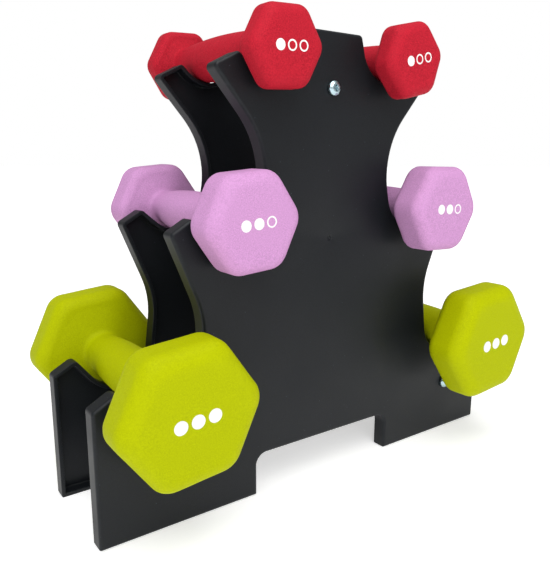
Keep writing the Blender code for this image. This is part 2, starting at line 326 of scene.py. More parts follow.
def plate_circles():
    """Rounding centres and radii of the whole outline of a side plate, clockwise from its top right.
    A positive radius turns round material, a negative one round open space."""
    size = props("sizes")
    low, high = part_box("front_side_plate")
    half = high.x
    hook, lip, foot = size.hook_corner, size.lip_corner, size.foot_corner
    right = [
        (size.top_width / 2 - hook, high.z - hook, hook),  # flat top
        (50.5 * MM, 298.8 * MM, -size.saddle),  # top cradle
        (71.7 * MM, 282.5 * MM, hook),  # upper hook
        (84.3 * MM, 276.2 * MM, hook),
        (111.5 * MM, 213.5 * MM, -size.waist),  # upper hollow side
        (78.7 * MM, 199.7 * MM, -size.saddle),  # middle cradle
        (104.5 * MM, 186.9 * MM, hook),  # middle hook
        (115.1 * MM, 180.7 * MM, hook),
        (157.2 * MM, 120.9 * MM, -size.waist),  # lower hollow side
        (125.3 * MM, 94.6 * MM, -size.saddle),  # lowest cradle
        (156.1 * MM, 89.3 * MM, lip),  # its lip
        (half - hook, 84.3 * MM, hook),
        (half - foot, low.z + foot, foot),  # foot
        (size.arch_width / 2 + foot, low.z + foot, foot),
        (size.arch_width / 2 - size.arch_corner, size.arch_height - size.arch_corner, -size.arch_corner),
    ]
    return right + [(-x, z, radius) for x, z, radius in reversed(right)]


def plate_layers(depth):
    """Inset from the outline and distance from the outer face, from the outer face to the tray floor."""
    size = props("sizes")
    edge, rim, wall, floor = size.edge, size.rim_edge, size.wall, size.skin
    corners = [
        (edge + 2 * SUPPORT, 0, 0),
        (edge + SUPPORT, 0, 0),
        (0, 0, edge),
        (0, edge + SUPPORT, 0),
        (0, depth - rim - SUPPORT, 0),
        (0, depth, rim),
        (wall, depth, rim),
        (wall, depth - rim - SUPPORT, 0),
        (wall, floor, 2 * rim),
        (wall + 2 * rim + SUPPORT, floor, 0),
        (wall + 2 * rim + 2 * SUPPORT, floor, 0),
    ]
    return rounded(corners)


def bar_place(place):
    """Where a cross bar is: x, z and radius."""
    low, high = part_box(f"{place}_cross_bar")
    return (low.x + high.x) / 2, (low.z + high.z) / 2, (high.z - low.z) / 2


def socket_profile(bore, depth):
    """Outline of a socket in the tray and of the screw hole in its middle: (radius, distance from the
    outer face), from the foot of the socket's ring to the outer face."""
    size = props("sizes")
    outside = bore + size.socket_wall
    soft = size.rim_edge
    rim = depth - 1 * MM
    return rounded([
        (outside + 1.5 * soft, size.skin, 0), (outside, size.skin, soft), (outside, rim, soft),
        (bore, rim, soft), (bore, size.skin, 0.6 * soft), (SCREW_HOLE, size.skin, 0.4 * soft),
        (SCREW_HOLE, 0, 0),
    ])


def gate_profile():
    """Outline (radius, distance from the outer face) of the shallow pit round the nub where the moulding
    gate broke away, from its rim to the nub's tip; both are shares of the gate's radius."""
    radius = props("sizes").gate_radius
    outline = [(1.1, 0.0), (1.0, 0.02), (0.88, 0.12), (0.66, 0.26), (0.46, 0.27), (0.34, 0.16),
               (0.2, 0.05), (0.05, 0.03)]
    return [(radius * across, radius * deep) for across, deep in outline]


def side_plate(label, facing):
    """A shallow tray: smooth outer face, rim wall, open inner side with three sockets for the bars."""
    size = props("sizes")
    low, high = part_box(f"{label}_side_plate")
    depth = high.y - low.y
    outer = low.y if facing < 0 else high.y

    def stood(profile, x, z, segments=48):
        """Rings of the (radius, distance from the outer face) profile about an axis at x, z."""
        rings = []
        for radius, inwards in profile:
            ring = circle(radius, 0, segments)
            rings.append([(x + dx, outer - facing * inwards, z + dz) for dx, along, dz in ring])
        return rings

    work = bmesh.new()
    circles = plate_circles()
    rings = []
    for inset, inwards in plate_layers(depth):
        rings.append([(x, outer - facing * inwards, z) for x, z in belt(circles, inset)])
    skin(work, rings)
    for place in BARS:
        x, z, radius = bar_place(place)
        skin(work, stood(socket_profile(radius + SOCKET_GAP, depth), x, z))
    gate = skin(work, stood(gate_profile(), 0, size.gate_height))
    work.faces.new(gate[-1])
    bmesh.ops.remove_doubles(work, verts=work.verts, dist=WELD)
    for level in (outer, outer - facing * size.skin):
        open_edges = [edge for edge in work.edges if edge.is_boundary]
        rims = [edge for edge in open_edges if all(abs(v.co.y - level) < WELD for v in edge.verts)]
        bmesh.ops.triangle_fill(work, edges=rims, use_beauty=True)
    mesh = closed_mesh(f"{label} plate", work)

    # Painted highlight and wear: how much lighter the outer face's rounded edge and the rim wall's top are
    # painted.
    def wear_and_highlight_at(point):
        inwards = abs(point.y - outer)
        on_edge = 0.1 * size.edge < inwards < 0.9 * size.edge
        on_rim = depth - 0.9 * size.rim_edge < inwards < depth
        return 1.0 if on_edge else 0.6 if on_rim else 0.0

    write_wear_and_highlight(mesh, wear_and_highlight_at)
    plate = add_object(f"{label}_plate_moulding", mesh)
    return finished(plate, RACK_BODY, "rack_plastic", plastic_finish(), f"{label}_side_plate")


# ---------------------------------------------------------------- cross bars and screws
def bar_blank():
    """One cross bar along Y: outer wall, annular pockets cored into both ends, and the screw bosses."""
    size = props("sizes")
    low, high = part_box("top_cross_bar")
    end, radius = high.y, (high.z - low.z) / 2
    soft = 0.4 * MM
    pocket, pocket_end = radius - size.bar_wall, end - size.core_depth
    hole_end = end - 17 * MM
    corners = [
        (SCREW_HOLE * 0.1, hole_end, 0), (SCREW_HOLE, hole_end, 0), (SCREW_HOLE, end, soft),
        (size.boss_radius, end, soft), (size.boss_radius, pocket_end, 2 * soft),
        (pocket, pocket_end, 2 * soft), (pocket, end, soft), (radius, end, soft), (radius, 0, 0),
    ]
    half = rounded(corners)
    return add_object("bar blank", turned("bar", half + [(u, -v) for u, v in reversed(half[:-1])]))


def recess_cutter():
    """The cross recess: two tapered blades and the cone where they meet."""
    work = bmesh.new()
    top, bottom = -0.6 * MM, 2.0 * MM
    for turn in (0, math.pi / 2):
        rows = []
        for along, span, width in ((top, 5.2 * MM, 1.25 * MM), (bottom, 2.2 * MM, 0.75 * MM)):
            corners = [(-span / 2, -width / 2), (span / 2, -width / 2), (span / 2, width / 2),
                       (-span / 2, width / 2)]
            place = Matrix.Rotation(turn, 4, "Y")
            rows.append([work.verts.new(place @ Vector((x, along, z))) for x, z in corners])
        for i in range(4):
            j = (i + 1) % 4
            work.faces.new((rows[0][i], rows[0][j], rows[1][j], rows[1][i]))
        work.faces.new(reversed(rows[0]))
        work.faces.new(rows[1])
    cone = bmesh.ops.create_cone(work, cap_ends=True, segments=24, radius1=1.7 * MM, radius2=0.4 * MM,
                                 depth=3.0 * MM, matrix=Matrix.Rotation(-math.pi / 2, 4, "X"))
    bmesh.ops.translate(work, verts=cone["verts"], vec=(0, 0.9 * MM, 0))
    bmesh.ops.recalc_face_normals(work, faces=work.faces)
    mesh = bpy.data.meshes.new("recess")
    work.to_mesh(mesh)
    work.free()
    return add_object("recess", mesh)


def screw_blank():
    """A pan head with its cross recess, on a plain tapered core; the top of the head is at y = 0."""
    low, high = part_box("front_top_screw")
    radius = (high.z - low.z) / 2
    head, tip = 3.2 * MM, high.y - low.y
    core = props("sizes").shank_core
    corners = [
        (0.1 * MM, 0, 0), (radius * 0.62, 0.12 * MM, 1.2 * MM), (radius, 1.5 * MM, 1.1 * MM),
        (radius, head, 0.25 * MM), (core, head, 0), (core, tip - 3 * MM, 0), (0.15 * MM, tip, 0),
    ]
    blank = add_object("screw blank", turned("screw", rounded(corners, 8), 64))
    cutter = recess_cutter()
    recess = blank.modifiers.new("recess", "BOOLEAN")
    recess.operation = "DIFFERENCE"
    recess.object = cutter
    recess.use_self = True         # the blades and the cone of the cutter overlap
    plain_mesh(blank)
    remove(cutter)
    shade(blank.data, 30)
    return blank


class Tree:
    """Adds nodes to a node tree, sets their inputs and links them."""

    def __init__(self, tree):
        self.tree = tree

    def add(self, kind, inputs=None, **settings):
        """A new node. An input given as a socket is linked, and any other value is set."""
        node = self.tree.nodes.new(kind)
        for name, value in settings.items():
            setattr(node, name, value)
        for name, value in (inputs or {}).items():
            if isinstance(value, bpy.types.NodeSocket):
                self.tree.links.new(value, node.inputs[name])
            else:
                node.inputs[name].default_value = value
        return node

    def math(self, operation, first, second=0.0, clamp=False):
        node = self.add("ShaderNodeMath", {0: first, 1: second}, operation=operation, use_clamp=clamp)
        return node.outputs[0]

    def vector(self, **parts):
        """A vector from its X, Y and Z parts."""
        return self.add("ShaderNodeCombineXYZ", parts).outputs[0]

    def noise(self, place, scale, detail, roughness=0.5):
        return self.add("ShaderNodeTexNoise", {"Vector": place, "Scale": scale, "Detail": detail,
                                               "Roughness": roughness}).outputs[0]

    def socket(self, name, kind, default=None, in_out="INPUT"):
        """A named input or output on the tree's own interface."""
        made = self.tree.interface.new_socket(name, in_out=in_out, socket_type=f"NodeSocket{kind}")
        if default is not None:
            made.default_value = default
        return made


def geometry_tree(name, inputs):
    """A geometry tree with a Geometry input and output and the named inputs {name: (kind, default)}."""
    tree = Tree(bpy.data.node_groups.new(name, "GeometryNodeTree"))
    tree.tree.is_modifier = True
    tree.socket("Geometry", "Geometry")
    tree.socket("Geometry", "Geometry", in_out="OUTPUT")
    for label, (kind, default) in inputs.items():
        tree.socket(label, kind, default)
    return tree, tree.add("NodeGroupInput").outputs


def close_tree(tree, geometry, finish):
    """Realise the tree's instances, give them their material and send them out."""
    real = tree.add("GeometryNodeRealizeInstances", {"Geometry": geometry}).outputs[0]
    painted = tree.add("GeometryNodeSetMaterial", {"Geometry": real, "Material": finish}).outputs[0]
    tree.add("NodeGroupOutput", {"Geometry": painted})
    return tree.tree


def run_tree(obj, tree, values):
    """Run a geometry tree on the object with its named inputs set, and keep the plain mesh."""
    change = obj.modifiers.new(tree.name, "NODES")
    change.node_group = tree
    for item in tree.interface.items_tree:
        if item.item_type == "SOCKET" and item.in_out == "INPUT" and item.name in values:
            change[item.identifier] = values[item.name]
    obj.update_tag()
    bpy.context.view_layer.update()
    plain_mesh(obj)


def places_object(name, places):
    mesh = bpy.data.meshes.new(name)
    mesh.from_pydata(places, [], [])
    return add_object(name, mesh)


def bars_tree():
    """Stands one copy of the item at each point."""
    tree, given = geometry_tree("Cross bars", {"Item": ("Object", None), "Material": ("Material", None)})
    item = tree.add("GeometryNodeObjectInfo", {"Object": given["Item"]}).outputs["Geometry"]
    copies = tree.add("GeometryNodeInstanceOnPoints", {"Points": given["Geometry"], "Instance": item})
    return close_tree(tree, copies.outputs[0], given["Material"])


def screws_tree():
    """Winds a thread round the screw blank and stands a screw at each point, facing away from y = 0
    with its recess at an odd angle."""
    tree, given = geometry_tree("Tapping screws", {
        "Blank": ("Object", None), "Pitch": ("Float", 1.6 * MM), "Turns": ("Float", 8.0),
        "Root": ("Float", 1.8 * MM), "Crest": ("Float", 2.4 * MM), "Start": ("Float", 4 * MM),
        "Seed": ("Int", 3), "Material": ("Material", None)})
    height = tree.math("MULTIPLY", given["Pitch"], given["Turns"])
    middle = tree.math("MULTIPLY", tree.math("ADD", given["Root"], given["Crest"]), 0.5)
    depth = tree.math("MULTIPLY", tree.math("SUBTRACT", given["Crest"], given["Root"]), 0.577)
    spiral = tree.add("GeometryNodeCurveSpiral", {
        "Resolution": 28, "Rotations": given["Turns"], "Start Radius": middle, "End Radius": middle,
        "Height": height}).outputs[0]
    ridge = tree.add("GeometryNodeCurvePrimitiveCircle", {"Resolution": 4, "Radius": depth})
    thread = tree.add("GeometryNodeCurveToMesh", {
        "Curve": spiral, "Profile Curve": ridge.outputs["Curve"], "Fill Caps": True}).outputs[0]
    lift = tree.vector(Y=tree.math("ADD", given["Start"], height))
    laid = tree.add("GeometryNodeTransform", {"Geometry": thread, "Translation": lift,
                                              "Rotation": (math.pi / 2, 0, 0)}).outputs[0]
    blank = tree.add("GeometryNodeObjectInfo", {"Object": given["Blank"]}).outputs["Geometry"]
    whole = tree.add("GeometryNodeJoinGeometry", {"Geometry": blank})
    tree.tree.links.new(laid, whole.inputs[0])
    place = tree.add("GeometryNodeInputPosition").outputs[0]
    across = tree.add("ShaderNodeSeparateXYZ", {0: place}).outputs["Y"]
    about = tree.math("MULTIPLY", tree.math("GREATER_THAN", across, 0.0), math.pi)
    odd = tree.add("FunctionNodeRandomValue", {"Min": 0.0, "Max": math.pi / 2, "Seed": given["Seed"]},
                   data_type="FLOAT")
    random_turn = next(item for item in odd.outputs if item.enabled)
    turn = tree.vector(Y=random_turn, Z=about)
    copies = tree.add("GeometryNodeInstanceOnPoints", {
        "Points": given["Geometry"], "Instance": whole.outputs[0], "Rotation": turn})
    return close_tree(tree, copies.outputs[0], given["Material"])


def cross_bars():
    blank = bar_blank()
    tree = bars_tree()
    finish = plastic_finish()
    for place in BARS:
        x, z, radius = bar_place(place)
        bar = places_object(f"{place}_bar_moulding", [(x, 0, z)])
        run_tree(bar, tree, {"Item": blank, "Material": finish})
        finished(bar, RACK_BODY, "rack_plastic", finish, f"{place}_cross_bar")
    remove(blank)


def screws():
    size = props("sizes")
    blank = screw_blank()
    finish = zinc_finish()
    nodes, places = [], []
    for label, facing in FACINGS.items():
        for place in BARS:
            low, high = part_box(f"{label}_{place}_screw")
            head_top = low.y if facing < 0 else high.y
            places.append(((low.x + high.x) / 2, head_top, (low.z + high.z) / 2))
            nodes.append(f"{label}_{place}_screw")
    piece = places_object("tapping_screws", places)
    run_tree(piece, screws_tree(), {
        "Blank": blank, "Pitch": size.thread_pitch, "Turns": 8.0, "Root": size.shank_core - 0.1 * MM,
        "Crest": 2.35 * MM, "Start": 4.2 * MM, "Seed": 3, "Material": finish})
    finished(piece, RACK_BODY, "screw_zinc", finish, *nodes)
    remove(blank)


# ---------------------------------------------------------------- dumbbells
def resting_place(kind, side):
    """The dumbbell's own frame, read from its CAD coat: Y along the handle, X through a corner."""
    low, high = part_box(f"dumbbell_{kind}_{side}_coat")
    middle = (low + high) / 2
    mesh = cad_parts[f"dumbbell_{kind}_{side}_coat"].data
    points = {tuple(round(value, 6) for value in vertex.co) for vertex in mesh.vertices}
    points = [Vector(point) for point in sorted(points)]
    reach = (high.y - low.y) / 4
    rear = [point for point in points if point.y > middle.y + reach]
    front = [point for point in points if point.y < middle.y - reach]
    handle = sum(rear, Vector()) / len(rear) - sum(front, Vector()) / len(front)
    handle.normalize()

    def sideways(point):
        away = point - middle
        return away - handle * away.dot(handle)

    corners = [sideways(point) for point in points]
    furthest = max(corner.length for corner in corners)
    corner = max((corner for corner in corners if corner.length > 0.999 * furthest), key=lambda c: c.x)
    corner.normalize()
    upright = corner.cross(handle).normalized()
    turn = Matrix((corner, handle, upright)).transposed().to_4x4()
    return Matrix.Translation(middle) @ turn


def hexagon(flats, corner, along, ripple=0.0, phase=0.0):
    """Points round a hexagon with rounded corners, crowded towards the corners; where corner equals
    flats it is a circle. The ripple moves them in or out a little."""
    reach = (flats - corner) / math.cos(math.pi / 6)
    arc_end = math.atan2(corner / 2, reach + corner * math.cos(math.pi / 6))
    ring = []
    for i in range(RING_POINTS):
        even = 2 * math.pi * i / RING_POINTS
        angle = even - CROWDING / 6 * math.sin(6 * even)
        off = (angle + math.pi / 6) % (math.pi / 3) - math.pi / 6
        if abs(off) < arc_end:
            radius = reach * math.cos(off) + math.sqrt(corner ** 2 - (reach * math.sin(off)) ** 2)
        else:
            radius = flats / math.cos(math.pi / 6 - abs(off))
        x, z = radius * math.cos(angle), radius * math.sin(angle)
        if ripple:
            swell = ripple * noise.noise(Vector((x, along, z)) * 70 + Vector((phase, 0, phase)))
            x, z = x * (1 + swell / radius), z * (1 + swell / radius)
        ring.append((x, along, z))
    return ring


def evenly(first, last, count):
    """Evenly spaced tuples after first, up to and including last."""
    made = []
    for k in range(1, count + 1):
        made.append(tuple(a + (b - a) * k / count for a, b in zip(first, last)))
    return made


def half_sections(kind, offset):
    """Sections (flats radius, corner, distance) from near the middle of the end face to the middle of
    the handle, drawn in by offset."""
    size, i = props("dumbbells"), KINDS.index(kind)
    flats = size.flats[i] / 2 - offset
    corner = size.corner[i] - offset
    end = size.length[i] / 2 - offset
    edge = size.edge[i] - offset / 2
    shoulder = size.shoulder[i]
    neck_at = end - size.head[i] + 2 * offset
    grip, neck = size.grip[i] - offset, size.neck[i] - offset
    half = size.length[i] / 2 - size.head[i]
    dish = size.dish * flats

    def handle(along):
        radius = grip - (grip - neck) * (along / half) ** 2
        return radius, radius, along

    face = flats - edge
    sections = [(face * share, corner * share, end) for share in (0.25, 0.5, 0.75, 0.95)]
    for k in range(EDGE_STEPS + 1):
        angle = math.pi / 2 * k / EDGE_STEPS
        sections.append((face + edge * math.sin(angle), corner, end - edge * (1 - math.cos(angle))))
    sections += evenly(sections[-1], (flats, corner, neck_at + dish + shoulder), 4)
    for k in range(1, SHOULDER_STEPS + 1):
        angle = math.pi / 2 * k / SHOULDER_STEPS
        inset = shoulder * (1 - math.cos(angle))
        sections.append((flats - inset, corner, neck_at + dish + shoulder * (1 - math.sin(angle))))
    sections += evenly(sections[-1], handle(neck_at), 10)[:-2]
    bend_at = neck_at - 5 * MM
    bend_from, bend_over, bend_to = sections[-1], handle(neck_at), handle(bend_at)
    for k in range(1, SHOULDER_STEPS + 1):
        t = k / SHOULDER_STEPS
        weights = (1 - t) ** 2, 2 * t * (1 - t), t ** 2
        three = zip(bend_from, bend_over, bend_to)
        sections.append(tuple(sum(w * value for w, value in zip(weights, values)) for values in three))
    for k in range(1, HANDLE_STEPS + 1):
        sections.append(handle(bend_at * (1 - k / HANDLE_STEPS)))
    return sections


def coat_mesh(kind, phase):
    """The neoprene skin, open only at the hole that the dipping hook left in the rear end."""
    size, i = props("dumbbells"), KINDS.index(kind)
    outside = half_sections(kind, 0.0)
    inside = half_sections(kind, size.coat)
    end, hole = size.length[i] / 2, size.hang_hole
    rings = [hexagon(f, c, -y, size.ripple, phase) for f, c, y in outside]
    rings += [hexagon(f, c, y, size.ripple, phase) for f, c, y in reversed(outside[:-1])]
    lip = 0.6 * MM
    for k in range(5):
        angle = math.pi / 2 * k / 4
        radius = hole + lip * (1 - math.sin(angle))
        rings.append(hexagon(radius, radius, end - lip * (1 - math.cos(angle))))
    rings.append(hexagon(hole, hole, end - size.coat))
    rings += [hexagon(f, c, y) for f, c, y in inside]
    rings += [hexagon(f, c, -y) for f, c, y in reversed(inside[:-1])]
    mesh = loft(f"coat {kind}", rings)
    face = size.flats[i] / 2 - size.edge[i]
    shoulder_at = end - size.head[i] + size.shoulder[i]

    # Painted sheen: how much lighter the rounded edges of the ends are painted, strongest midway round
    # them.
    def wear_and_highlight_at(point):
        across = math.hypot(point.x, point.z)
        on_edge = max(0.0, min(1.0, (across - face) / size.edge[i]))
        near_end = max(0.0, min(1.0, (abs(point.y) - (end - size.edge[i])) / size.edge[i]))
        return 4 * on_edge * near_end * (1 - on_edge * near_end) if abs(point.y) > shoulder_at else 0.0

    write_wear_and_highlight(mesh, wear_and_highlight_at)
    return mesh


def coats():
    finishes = props("finishes")
    colours = (finishes.small, finishes.middle, finishes.large)
    slots = ("coat_red", "coat_lilac", "coat_lime")
    grains = (1.0, 0.55, 0.4)
    for kind, tint, slot_name, strength in zip(KINDS, colours, slots, grains):
        finish = neoprene_finish(f"neoprene {kind}", tint, strength)
        for phase, side in enumerate(SIDES):
            mesh = coat_mesh(kind, 3.0 * phase)
            mesh.transform(resting_place(kind, side))
            body = f"dumbbell_{kind}_{side}"
            finished(add_object(f"neoprene_{kind}_{side}", mesh), body, slot_name, finish, f"{body}_coat")


def marks_tree():
    """A row of three dots on each end of a dumbbell: the first ones filled, the rest open rings."""
    tree, given = geometry_tree("Size dots", {
        "Filled": ("Int", 1), "Spacing": ("Float", 8 * MM), "Dot": ("Float", 3 * MM),
        "Line": ("Float", 1 * MM), "Thickness": ("Float", 0.3 * MM), "Reach": ("Float", 0.09),
        "Material": ("Material", None)})
    step = tree.vector(X=given["Spacing"])
    back = tree.vector(X=tree.math("MULTIPLY", given["Spacing"], -1.0))
    row = tree.add("GeometryNodeMeshLine", {"Count": 3, "Start Location": back, "Offset": step}).outputs[0]
    disc = tree.add("GeometryNodeMeshCylinder", {
        "Vertices": 48, "Radius": given["Dot"], "Depth": given["Thickness"]}).outputs["Mesh"]
    half_line = tree.math("MULTIPLY", given["Line"], 0.5)
    middle = tree.math("SUBTRACT", given["Dot"], half_line)
    outline = tree.add("GeometryNodeCurvePrimitiveCircle", {"Resolution": 64, "Radius": middle})
    strip = tree.add("GeometryNodeCurvePrimitiveQuadrilateral", {
        "Width": given["Line"], "Height": given["Thickness"]}).outputs[0]
    ring = tree.add("GeometryNodeCurveToMesh", {
        "Curve": outline.outputs["Curve"], "Profile Curve": strip}).outputs[0]
    index = tree.add("GeometryNodeInputIndex").outputs[0]
    filled = tree.math("LESS_THAN", index, given["Filled"])
    open_ones = tree.math("SUBTRACT", 1.0, filled)
    discs = tree.add("GeometryNodeInstanceOnPoints", {"Points": row, "Instance": disc, "Selection": filled})
    circles = tree.add("GeometryNodeInstanceOnPoints", {"Points": row, "Instance": ring,
                                                        "Selection": open_ones})
    dots = tree.add("GeometryNodeJoinGeometry", {"Geometry": discs.outputs[0]})
    tree.tree.links.new(circles.outputs[0], dots.inputs[0])
    ends = tree.add("GeometryNodeJoinGeometry")
    for sign, turn in ((-1.0, (math.pi / 2, 0, 0)), (1.0, (math.pi / 2, 0, math.pi))):
        place = tree.vector(Y=tree.math("MULTIPLY", given["Reach"], sign))
        end = tree.add("GeometryNodeTransform", {"Geometry": dots.outputs[0], "Rotation": turn,
                                                 "Translation": place})
        tree.tree.links.new(end.outputs[0], ends.inputs[0])
    return close_tree(tree, ends.outputs[0], given["Material"])


def size_marks():
    size = props("dumbbells")
    tree = marks_tree()
    finish = ink_finish()
    for filled, kind in enumerate(KINDS, start=1):
        i = KINDS.index(kind)
        for side in SIDES:
            mark = places_object(f"size_mark_{kind}_{side}", [])
            run_tree(mark, tree, {
                "Filled": filled, "Spacing": size.spacing[i], "Dot": size.dot[i], "Line": 0.9 * MM,
                "Thickness": 0.16 * MM, "Reach": size.length[i] / 2, "Material": finish})
            shade(mark.data)
            mark.data.transform(resting_place(kind, side))
            finished(mark, f"dumbbell_{kind}_{side}", None, finish)


def cores():
    """The iron cores keep their CAD shape, and get the finish of a raw casting."""
    finish = iron_finish()
    for kind in KINDS:
        for side in SIDES:
            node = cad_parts[f"dumbbell_{kind}_{side}_core"]
            for holder in node.material_slots:
                holder.material = finish


# ---------------------------------------------------------------- finishes
def shader_group(name, inputs, outputs):
    """A shader group with the named inputs {name: (kind, default)} and outputs {name: kind}."""
    tree = Tree(bpy.data.node_groups.new(name, "ShaderNodeTree"))
    for label, (kind, default) in inputs.items():
        tree.socket(label, kind, default)
    for label, kind in outputs.items():
        tree.socket(label, kind, in_out="OUTPUT")
    return tree, tree.add("NodeGroupInput").outputs


def grain_group():
    """Fine grain for bump, and soft patches for colour and gloss."""
    if "Grain" in bpy.data.node_groups:
        return bpy.data.node_groups["Grain"]
    tree, given = shader_group(
        "Grain",
        {"Vector": ("Vector", None), "Grain Scale": ("Float", 1000.0), "Patch Scale": ("Float", 30.0)},
        {"Fine": "Float", "Coarse": "Float", "Patches": "Float"})
    fine = tree.noise(given["Vector"], given["Grain Scale"], 3.0, 0.6)
    coarse = tree.noise(given["Vector"], tree.math("MULTIPLY", given["Grain Scale"], 0.28), 2.0)
    patches = tree.noise(given["Vector"], given["Patch Scale"], 3.0, 0.55)
    tree.add("NodeGroupOutput", {"Fine": fine, "Coarse": coarse, "Patches": patches})
    return tree.tree


def specks_group():
    """A mask of sparse specks of dust."""
    if "Specks" in bpy.data.node_groups:
        return bpy.data.node_groups["Specks"]
    tree, given = shader_group(
        "Specks", {"Vector": ("Vector", None), "Scale": ("Float", 60.0), "Share": ("Float", 0.05),
                   "Size": ("Float", 0.03)}, {"Mask": "Float"})
    cells = tree.add("ShaderNodeTexVoronoi", {"Vector": given["Vector"], "Scale": given["Scale"]})
    chosen = tree.add("ShaderNodeSeparateColor", {0: cells.outputs["Color"]}).outputs[0]
    few = tree.math("LESS_THAN", chosen, given["Share"])
    near = tree.math("LESS_THAN", cells.outputs["Distance"], given["Size"])
    tree.add("NodeGroupOutput", {"Mask": tree.math("MULTIPLY", few, near)})
    return tree.tree


def wear_and_highlight_group():
    """A mask of edges painted lighter, as wear and as painted highlight: the stored amount, broken up by
    noise.
    """
    if "Edge wear and painted highlight" in bpy.data.node_groups:
        return bpy.data.node_groups["Edge wear and painted highlight"]
    tree, given = shader_group(
        "Edge wear and painted highlight", {"Vector": ("Vector", None), "Scale": ("Float", 300.0), "Amount": ("Float", 1.0)},
        {"Mask": "Float"})
    wear_and_highlight = tree.add("ShaderNodeAttribute", attribute_name="wear_and_highlight").outputs["Fac"]
    broken = tree.noise(given["Vector"], given["Scale"], 4.0)
    lifted = tree.math("MULTIPLY", tree.math("SUBTRACT", broken, 0.35), 2.2, clamp=True)
    tree.add("NodeGroupOutput", {"Mask": tree.math("MULTIPLY", tree.math("MULTIPLY", wear_and_highlight, lifted),
                                                   given["Amount"])})
    return tree.tree


class Finish(Tree):
    """One material: its node tree, its Principled shader and the coordinates that its patterns read."""

    def __init__(self, name, roughness, metallic=0.0):
        self.material = bpy.data.materials.new(name)
        self.material.use_nodes = True
        super().__init__(self.material.node_tree)
        self.shader = self.tree.nodes["Principled BSDF"]
        self.shader.inputs["Roughness"].default_value = roughness
        self.shader.inputs["Metallic"].default_value = metallic
        self.place = self.add("ShaderNodeTexCoord").outputs["Object"]

    def group(self, tree, **values):
        """A shared group on this material's coordinates; an input's spaces are written as underscores."""
        node = self.add("ShaderNodeGroup", node_tree=tree)
        self.tree.links.new(self.place, node.inputs["Vector"])
        for name, value in values.items():
            node.inputs[name.replace("_", " ")].default_value = value
        return node.outputs

    def between(self, mask, first, last):
        """A colour that runs from first to last as the mask runs from 0 to 1."""
        node = self.add("ShaderNodeMix", data_type="RGBA")
        self.tree.links.new(mask, node.inputs["Factor"])
        for socket, value in (("A", first), ("B", last)):
            target = next(item for item in node.inputs if item.name == socket and item.enabled)
            if isinstance(value, bpy.types.NodeSocket):
                self.tree.links.new(value, target)
            else:
                target.default_value = (*value, 1.0)
        return next(item for item in node.outputs if item.enabled)

    def ranged(self, value, low, high):
        """The value, which runs from about 0.3 to 0.7 as noise does, spread from low to high."""
        return self.add("ShaderNodeMapRange", {"Value": value, "From Min": 0.3, "From Max": 0.7,
                                               "To Min": low, "To Max": high}).outputs[0]

    def mottled(self, noise_value, tint, low, high):
        """The tint, made darker and lighter by the noise, from low to high times its strength."""
        return self.between(self.ranged(noise_value, 0.0, 1.0), scaled(tint, low), scaled(tint, high))

    def bumps(self, *heights):
        """Bump nodes one on another, from (height, depth in metres, strength)."""
        normal = None
        for height, depth, strength in heights:
            node = self.add("ShaderNodeBump", {"Strength": strength, "Distance": depth, "Height": height})
            if normal:
                self.tree.links.new(normal, node.inputs["Normal"])
            normal = node.outputs[0]
        self.tree.links.new(normal, self.shader.inputs["Normal"])

    def drive(self, socket, value):
        self.tree.links.new(value, self.shader.inputs[socket])


def scaled(rgb, factor):
    return tuple(min(1.0, value * factor) for value in rgb)


def plastic_finish():
    """Satin black plastic with a fine spark texture, a little dust, and edges painted lighter as rubbed
    wear and as a painted highlight along their roundings.
    """
    if "satin black plastic" in bpy.data.materials:
        return bpy.data.materials["satin black plastic"]
    made = Finish("satin black plastic", 0.45)
    made.shader.inputs["Specular IOR Level"].default_value = 0.25
    tint = props("finishes").plastic
    grain = made.group(grain_group(), Grain_Scale=1500.0, Patch_Scale=26.0)
    dust = made.group(specks_group(), Scale=150.0, Share=0.9, Size=0.045)
    wear_and_highlight = made.group(wear_and_highlight_group(), Scale=260.0, Amount=0.7)
    fine = made.mottled(grain["Fine"], tint, 0.5, 1.5)
    base = made.between(made.ranged(grain["Patches"], 0.0, 0.6), fine, scaled(tint, 1.1))
    dusty = made.between(dust["Mask"], base, scaled(tint, 6))
    # Rounded edges and rim painted lighter: partly rubbed wear, partly painted highlight.
    worn_and_highlighted = made.between(wear_and_highlight["Mask"], dusty, scaled(tint, 2.2))
    made.drive("Base Color", worn_and_highlighted)
    gloss = made.ranged(grain["Patches"], 0.40, 0.50)
    made.drive("Roughness", made.math("SUBTRACT", gloss, made.math("MULTIPLY", wear_and_highlight["Mask"], 0.08)))
    made.bumps((grain["Coarse"], 0.05 * MM, 0.25), (grain["Fine"], 0.02 * MM, 0.5))
    return made.material


def zinc_finish():
    """Bright zinc plate with fine tool marks and dull spots."""
    made = Finish("bright zinc plate", 0.25, 1.0)
    tint = props("finishes").zinc
    grain = made.group(grain_group(), Grain_Scale=2200.0, Patch_Scale=500.0)
    made.drive("Base Color", made.mottled(grain["Patches"], tint, 0.8, 1.0))
    made.drive("Roughness", made.ranged(grain["Patches"], 0.18, 0.36))
    made.bumps((grain["Fine"], 0.01 * MM, 0.4))
    return made.material


def iron_finish():
    """Raw grey iron with a sand-cast skin."""
    made = Finish("raw cast iron", 0.6, 0.7)
    tint = props("finishes").iron
    grain = made.group(grain_group(), Grain_Scale=900.0, Patch_Scale=90.0)
    made.drive("Base Color", made.mottled(grain["Patches"], tint, 0.6, 1.4))
    made.drive("Roughness", made.ranged(grain["Coarse"], 0.5, 0.75))
    made.bumps((grain["Coarse"], 0.3 * MM, 0.6), (grain["Fine"], 0.1 * MM, 0.5))
    return made.material


